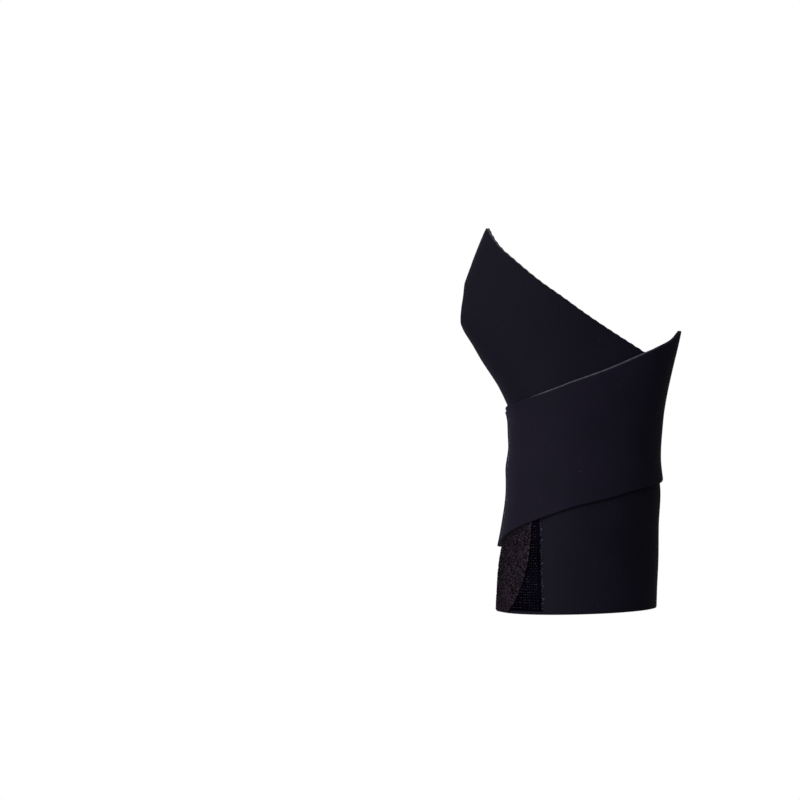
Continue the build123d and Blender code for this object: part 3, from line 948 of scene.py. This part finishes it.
def tab_stitches():
    """The box of stitches that holds the tab's hook tape, and two rows at the tab's seam."""
    laminate = settings().fabric.laminate
    t, h = rectangle_row((251.2, 283), (25, 52), 1.5)
    rise = strap_rise(t, h) + laminate + 0.02 * MM
    stitch_row("tab_box_stitches", t, h, rise, 0.11, 0.05, over_tab_hinge, "tab_stitching")
    for number, offset, nodes in ((1, -1.5, ["tab_join_stitching"]), (2, 1.5, [])):
        turn = TAB_SEAM_TURN + offset
        low, high = strap_edges(np.array([turn]))
        holes = np.arange(low[0] / MM + 2, high[0] / MM - 2, 1.0) * MM
        zigzag = turn + 0.8 * (-1.0) ** np.arange(len(holes))
        rise = strap_rise(zigzag, holes) + 2 * laminate
        name = f"tab_seam_stitches_{number}"
        stitch_row(name, zigzag, holes, rise, 0.09, 0.03, on_body("strap_side"), *nodes)


class BRACE_OT_closure(bpy.types.Operator):
    """Builds the closure: hook tape with its hooks and zigzag row, plush flap and sewn margin"""

    bl_idname = "brace.closure"
    bl_label = "Closure"

    def execute(self, context):
        cuff_hook_tape()
        flap()
        return {"FINISHED"}


def cuff_hook_tape():
    """Hook tape on the cuff's front end: a woven strip, rows of hooks and a pale zigzag row."""
    laminate = settings().fabric.laminate
    share = rows_of(56)[:, None]
    height = (1.2 + share * (HOOK_TAPE_TOP - 1.2)) * MM
    start = turn_at(HOOK_TAPE_EDGE, height / MM)
    columns = np.linspace(0, 1, 60)[None]
    turn = start + columns * (176 - start)
    height = height + 0 * turn
    rise = laminate + SEWN_GAP * MM
    thickness = (HOOK_TAPE - rounded(columns, 0.08, 0.01)) * MM
    # Its dark finish is partly painted shade of its hooks and of the flap over it.
    layer(
        "cuff_hook_tape_cloth", turn, height, rise, thickness, "hook tape with painted shade", "hook_tape", on_body("root"),
        "cuff_hook_tape",
    )
    h, t = np.meshgrid(np.arange(2.4, HOOK_TAPE_TOP - 1, 0.95), np.arange(0, 56, 2.1), indexing="ij")
    first = turn_at(HOOK_TAPE_EDGE - 1.6, h)
    t = first + t
    held = (t < 173).ravel()
    t, h = t.ravel()[held], h.ravel()[held] * MM
    hooks("cuff_hooks", t, h, rise + HOOK_TAPE * MM, on_body("root"))
    holes = np.arange(1.4, HOOK_TAPE_TOP, 0.6)
    uneven = np.random.default_rng(SEED).normal(0, 0.35, len(holes))
    zigzag = turn_at(HOOK_TAPE_EDGE + 0.15, holes) + uneven + 1.2 * (-1.0) ** np.arange(len(holes))
    name, rise, node_name = "cuff_zigzag_row", laminate + 0.12 * MM, "cuff_hook_stitching"
    stitch_row(name, zigzag, holes * MM, rise, 0.13, 0.08, on_body("root"), node_name, colour="pale")


def flap_grid(columns, share):
    """Turns, heights and rises of the flap's inside. Across the sheet the first share is sewn down
    beside the slit, and the rest lies on the hook tape as far as the curved free edge."""
    height = (0.3 + share * (FLAP_TOP - 0.3)) * MM
    free = turn_at(curve_through(height / MM, FLAP_EDGE)[..., 0], height / MM)
    turn = FLAP_ROOT_TURN + columns * (free - FLAP_ROOT_TURN)
    height = height + 0 * turn
    laid = smoothstep(turn, FLAP_ROOT_TURN - 5, FLAP_ROOT_TURN - 15)
    rise = settings().fabric.laminate + MM * (0.04 + 0.46 * laid)
    return turn, height, rise


def flap():
    """The flap: a knit backing, a pile base with a rolled free edge, thousands of pile loops, and
    the stitches of its sewn margin."""
    share = rows_of(60)[:, None]
    columns = rows_of(90)[None]
    turn, height, rise = flap_grid(columns, share)
    backing = layer(
        "flap_backing_cloth", turn, height, rise, FLAP_BACKING * MM, "plush backing", "lining",
        over_flap_hinge, "flap_backing",
    )
    rise = rise + (FLAP_BACKING + 0.02) * MM
    rolled = 0.10 * np.exp(-(((1 - columns) / 0.012) ** 2))
    base = layer(
        "flap_plush_cloth", turn, height, rise, (FLAP_PILE + rolled) * MM, "plush pile", "plush",
        over_flap_hinge, "flap_plush", "flap_margin",
    )
    draw = np.random.default_rng(SEED)
    count = FLAP_LOOPS
    turn, height, rise = flap_grid(draw.uniform(0.1, 0.997, count), draw.uniform(0.004, 0.996, count))
    foot = limb(turn, height, rise + 0.64 * MM)
    up = normals_at(turn, height, rise)
    lean = draw.normal(size=(count, 3))
    lean -= (lean * up).sum(-1, keepdims=True) * up
    lean /= np.linalg.norm(lean, axis=-1, keepdims=True)
    long = draw.uniform(0.3, 0.6, count)[:, None, None] * MM
    arc = np.array([(0, 0), (0.12, 0.42), (0.5, 0.62), (0.92, 0.5)])[None]
    lines = foot[:, None] + long * (arc[..., :1] * lean[:, None] + arc[..., 1:] * up[:, None])
    radius = MM * np.array([0.07, 0.065, 0.055, 0.03])[None] * draw.uniform(0.8, 1.3, (count, 1))
    pile = threads("flap_pile_loops", lines, radius, up, 3, finish_of("plush pile"))
    enter(pile, "plush", over_flap_hinge)
    holes = np.arange(1.6, FLAP_TOP - 1, 1.3) * MM
    rise = settings().fabric.laminate + 0.78 * MM
    for number, offset, nodes in ((1, 2.0, ["flap_stitching"]), (2, 4.4, [])):
        at = np.full(len(holes), FLAP_ROOT_TURN - offset)
        name = f"flap_margin_stitches_{number}"
        stitch_row(name, at, holes, rise, 0.11, 0.05, on_body("root"), *nodes)


class BRACE_OT_patch(bpy.types.Operator):
    """Builds the palm patch: a pad of loop pile with its loops and stitched border"""

    bl_idname = "brace.patch"
    bl_label = "Palm patch"

    def execute(self, context):
        laminate = settings().fabric.laminate
        low, high = PATCH_HEIGHTS
        columns = rows_of(90)[None]
        share = rows_of(60)[:, None]
        turn = PATCH_TURNS[0] + columns * (PATCH_TURNS[1] - PATCH_TURNS[0])
        cut = corner_cut(np.minimum(columns, 1 - columns) * PATCH_WIDTH, PATCH_CORNER)
        height = (low + cut + share * (high - low - 2 * cut)) * MM
        turn = turn + 0 * height
        dome = rounded(share, 0.2, 0.012) + rounded(columns, 0.2, 0.012)
        rise, thickness = laminate + SEWN_GAP * MM, (PATCH - dome - SEWN_GAP) * MM
        base = layer(
            "palm_patch_cloth", turn, height, rise, thickness, "loop pile", "loop_pile", on_body("root"),
            "palm_loop_patch",
        )
        draw = np.random.default_rng(SEED + 1)
        count = PATCH_LOOPS
        t = draw.uniform(PATCH_TURNS[0] + 5, PATCH_TURNS[1] - 5, count)
        h = draw.uniform(low + 3.2, high - 3.2, count) * MM
        foot = limb(t, h, laminate + 0.47 * MM)
        up = normals_at(t, h, laminate)
        lean = np.cross(up, draw.normal(size=(count, 3)))
        lean /= np.linalg.norm(lean, axis=-1, keepdims=True)
        arc = MM * np.array([(-0.22, 0), (-0.14, 0.22), (0.08, 0.27), (0.22, 0.02)])[None]
        lines = foot[:, None] + arc[..., :1] * lean[:, None] + arc[..., 1:] * up[:, None]
        radius = np.full((count, 4), 0.035 * MM)
        loops = threads("palm_patch_loops", lines, radius, up, 3, finish_of("loop pile"))
        enter(loops, "loop_pile", on_body("root"))
        t, h = rectangle_row((PATCH_TURNS[0] + 4, PATCH_TURNS[1] - 4), (low + 2, high - 2), 1.6)
        rise = laminate + PATCH * MM
        stitch_row("palm_patch_stitches", t, h, rise, 0.12, 0.05, on_body("root"), "palm_patch_stitching")
        return {"FINISHED"}


class BRACE_OT_seams(bpy.types.Operator):
    """Sews the flat waist seam and the strap's root"""

    bl_idname = "brace.seams"
    bl_label = "Seams"

    def execute(self, context):
        laminate = settings().fabric.laminate
        sewn = on_body("root")
        count = 250
        turn = np.linspace(0, 360, count)
        zigzag = (SEAM_HEIGHT + 1.1 * (-1.0) ** np.arange(count)) * MM
        name, rise = "waist_seam_cover_thread", laminate + 0.05 * MM
        stitch_row(name, turn, zigzag, rise, 0.08, 0.03, sewn, "waist_seam_stitching")
        holes = np.linspace(0, 360, 170)
        for number, offset in ((1, -1.3), (2, 1.3)):
            height = np.full(len(holes), (SEAM_HEIGHT + offset) * MM)
            name, rise = f"waist_seam_needle_row_{number}", laminate + 0.08 * MM
            stitch_row(name, holes, height, rise, 0.09, 0.03, sewn)
        low, high = strap_edges(np.array([STRAP_ROOT_TURN + 4]))
        holes = np.arange(low[0] / MM + 2, high[0] / MM - 2, 1.2) * MM
        for number, offset, nodes in ((1, 2.5, ["strap_root_stitching"]), (2, 5.5, [])):
            at = np.full(len(holes), STRAP_ROOT_TURN + offset)
            name, rise = f"strap_root_stitches_{number}", strap_rise(at, holes) + laminate + 0.02 * MM
            stitch_row(name, at, holes, rise, 0.11, 0.04, sewn, *nodes)
        return {"FINISHED"}


# ---------------------------------------------------------------- stage


def white_surroundings(strength):
    """A world that is plain white to the camera and lights the brace with its own strength."""
    world = bpy.data.worlds.new("white surroundings")
    world.use_nodes = True
    tree = world.node_tree
    seen = node(tree, "ShaderNodeLightPath", (-4, 0)).outputs["Is Camera Ray"]
    power = node(tree, "ShaderNodeMapRange", (-2, 0), Value=seen, To_Min=strength, To_Max=1.0)
    background = tree.nodes["Background"]
    background.inputs["Color"].default_value = (1, 1, 1, 1)
    tree.links.new(power.outputs[0], background.inputs["Strength"])
    bpy.context.scene.world = world


def soft_light(name, place, aim, size, power):
    """A square area light that looks at a point."""
    light = bpy.data.lights.new(name, "AREA")
    light.shape = "RECTANGLE"
    light.size, light.size_y = size
    light.energy = power
    lamp = bpy.data.objects.new(name, light)
    bpy.context.collection.objects.link(lamp)
    look = Vector(aim) - Vector(place)
    lamp.location = place
    lamp.rotation_euler = look.to_track_quat("-Z", "Y").to_euler()


class BRACE_OT_stage(bpy.types.Operator):
    """Sets up the white surroundings, the lights and the camera"""

    bl_idname = "brace.stage"
    bl_label = "Stage"

    def execute(self, context):
        stage = settings().stage
        white_surroundings(stage.sky)
        bpy.context.scene.view_settings.view_transform = "Standard"
        aim = (0, 0, 0.07)
        soft_light("key light", (-1.0, -1.15, 0.45), aim, (1.0, 1.2), stage.key)
        soft_light("rear light", (0.0, 1.7, 0.4), aim, (0.8, 0.8), stage.rear)
        soft_light("top light", (-0.2, 0.1, 1.5), aim, (1.2, 1.2), stage.fill)
        camera()
        return {"FINISHED"}


def camera():
    """The camera looks along +Y from a little above, rolled, and its view is VIEW_WIDTH wide at the
    brace. VIEW_MIDDLE is the view's middle, from the origin along the camera's right and up."""
    stage = settings().stage
    data = bpy.data.cameras.new("camera")
    data.sensor_width = SENSOR_WIDTH
    data.lens = SENSOR_WIDTH * stage.distance / VIEW_WIDTH
    data.clip_end = 20
    lens = bpy.data.objects.new("camera", data)
    bpy.context.collection.objects.link(lens)
    bpy.context.scene.camera = lens
    e, r = stage.height, stage.roll
    back = np.array([0, -math.cos(e), math.sin(e)])
    level = np.array([1.0, 0, 0])
    rise = np.cross(back, level)
    right = level * math.cos(r) - rise * math.sin(r)
    up = rise * math.cos(r) + level * math.sin(r)
    target = right * VIEW_MIDDLE[0] + up * VIEW_MIDDLE[1]
    place = (np.array(CAD_BOX[0]) + np.array(CAD_BOX[1])) / 2 + back * stage.distance
    look = (target - place) / np.linalg.norm(target - place)
    x_axis = right - (right @ look) * look
    x_axis /= np.linalg.norm(x_axis)
    matrix = np.eye(4)
    matrix[:3] = np.stack([x_axis, np.cross(-look, x_axis), -look, place], 1)
    lens.matrix_world = Matrix(matrix.tolist())


class BRACE_PT_panel(bpy.types.Panel):
    """The brace's settings and the steps that build it"""

    bl_idname = "BRACE_PT_panel"
    bl_label = "Wrist brace"
    bl_space_type = "VIEW_3D"
    bl_region_type = "UI"
    bl_category = "Brace"

    def draw(self, context):
        for operator in STEPS:
            self.layout.operator(operator.bl_idname)
        for group in ("fabric", "shape", "colours", "stage"):
            box = self.layout.box()
            values = getattr(context.scene.brace, group)
            for name in values.bl_rna.properties.keys():
                if name not in ("rna_type", "name"):
                    box.prop(values, name)


STEPS = (
    BRACE_OT_hand_panel, BRACE_OT_cuff, BRACE_OT_closure, BRACE_OT_patch, BRACE_OT_strap, BRACE_OT_tab,
    BRACE_OT_seams, BRACE_OT_stage,
)
CLASSES = (BraceFabric, BraceShape, BraceColours, BraceStage, BraceSettings, *STEPS, BRACE_PT_panel)


def register():
    """Adds the settings, the operators and the panel."""
    for each in CLASSES:
        bpy.utils.register_class(each)
    bpy.types.Scene.brace = bpy.props.PointerProperty(type=BraceSettings)


def unregister():
    """Takes them away again."""
    del bpy.types.Scene.brace
    for each in reversed(CLASSES):
        bpy.utils.unregister_class(each)


def main():
    register()
    bpy.ops.brace.hand_panel()
    bpy.ops.brace.cuff()
    bpy.ops.brace.closure()
    bpy.ops.brace.patch()
    bpy.ops.brace.strap()
    bpy.ops.brace.tab()
    bpy.ops.brace.seams()
    bpy.ops.brace.stage()


if __name__ == "__main__":
    main()
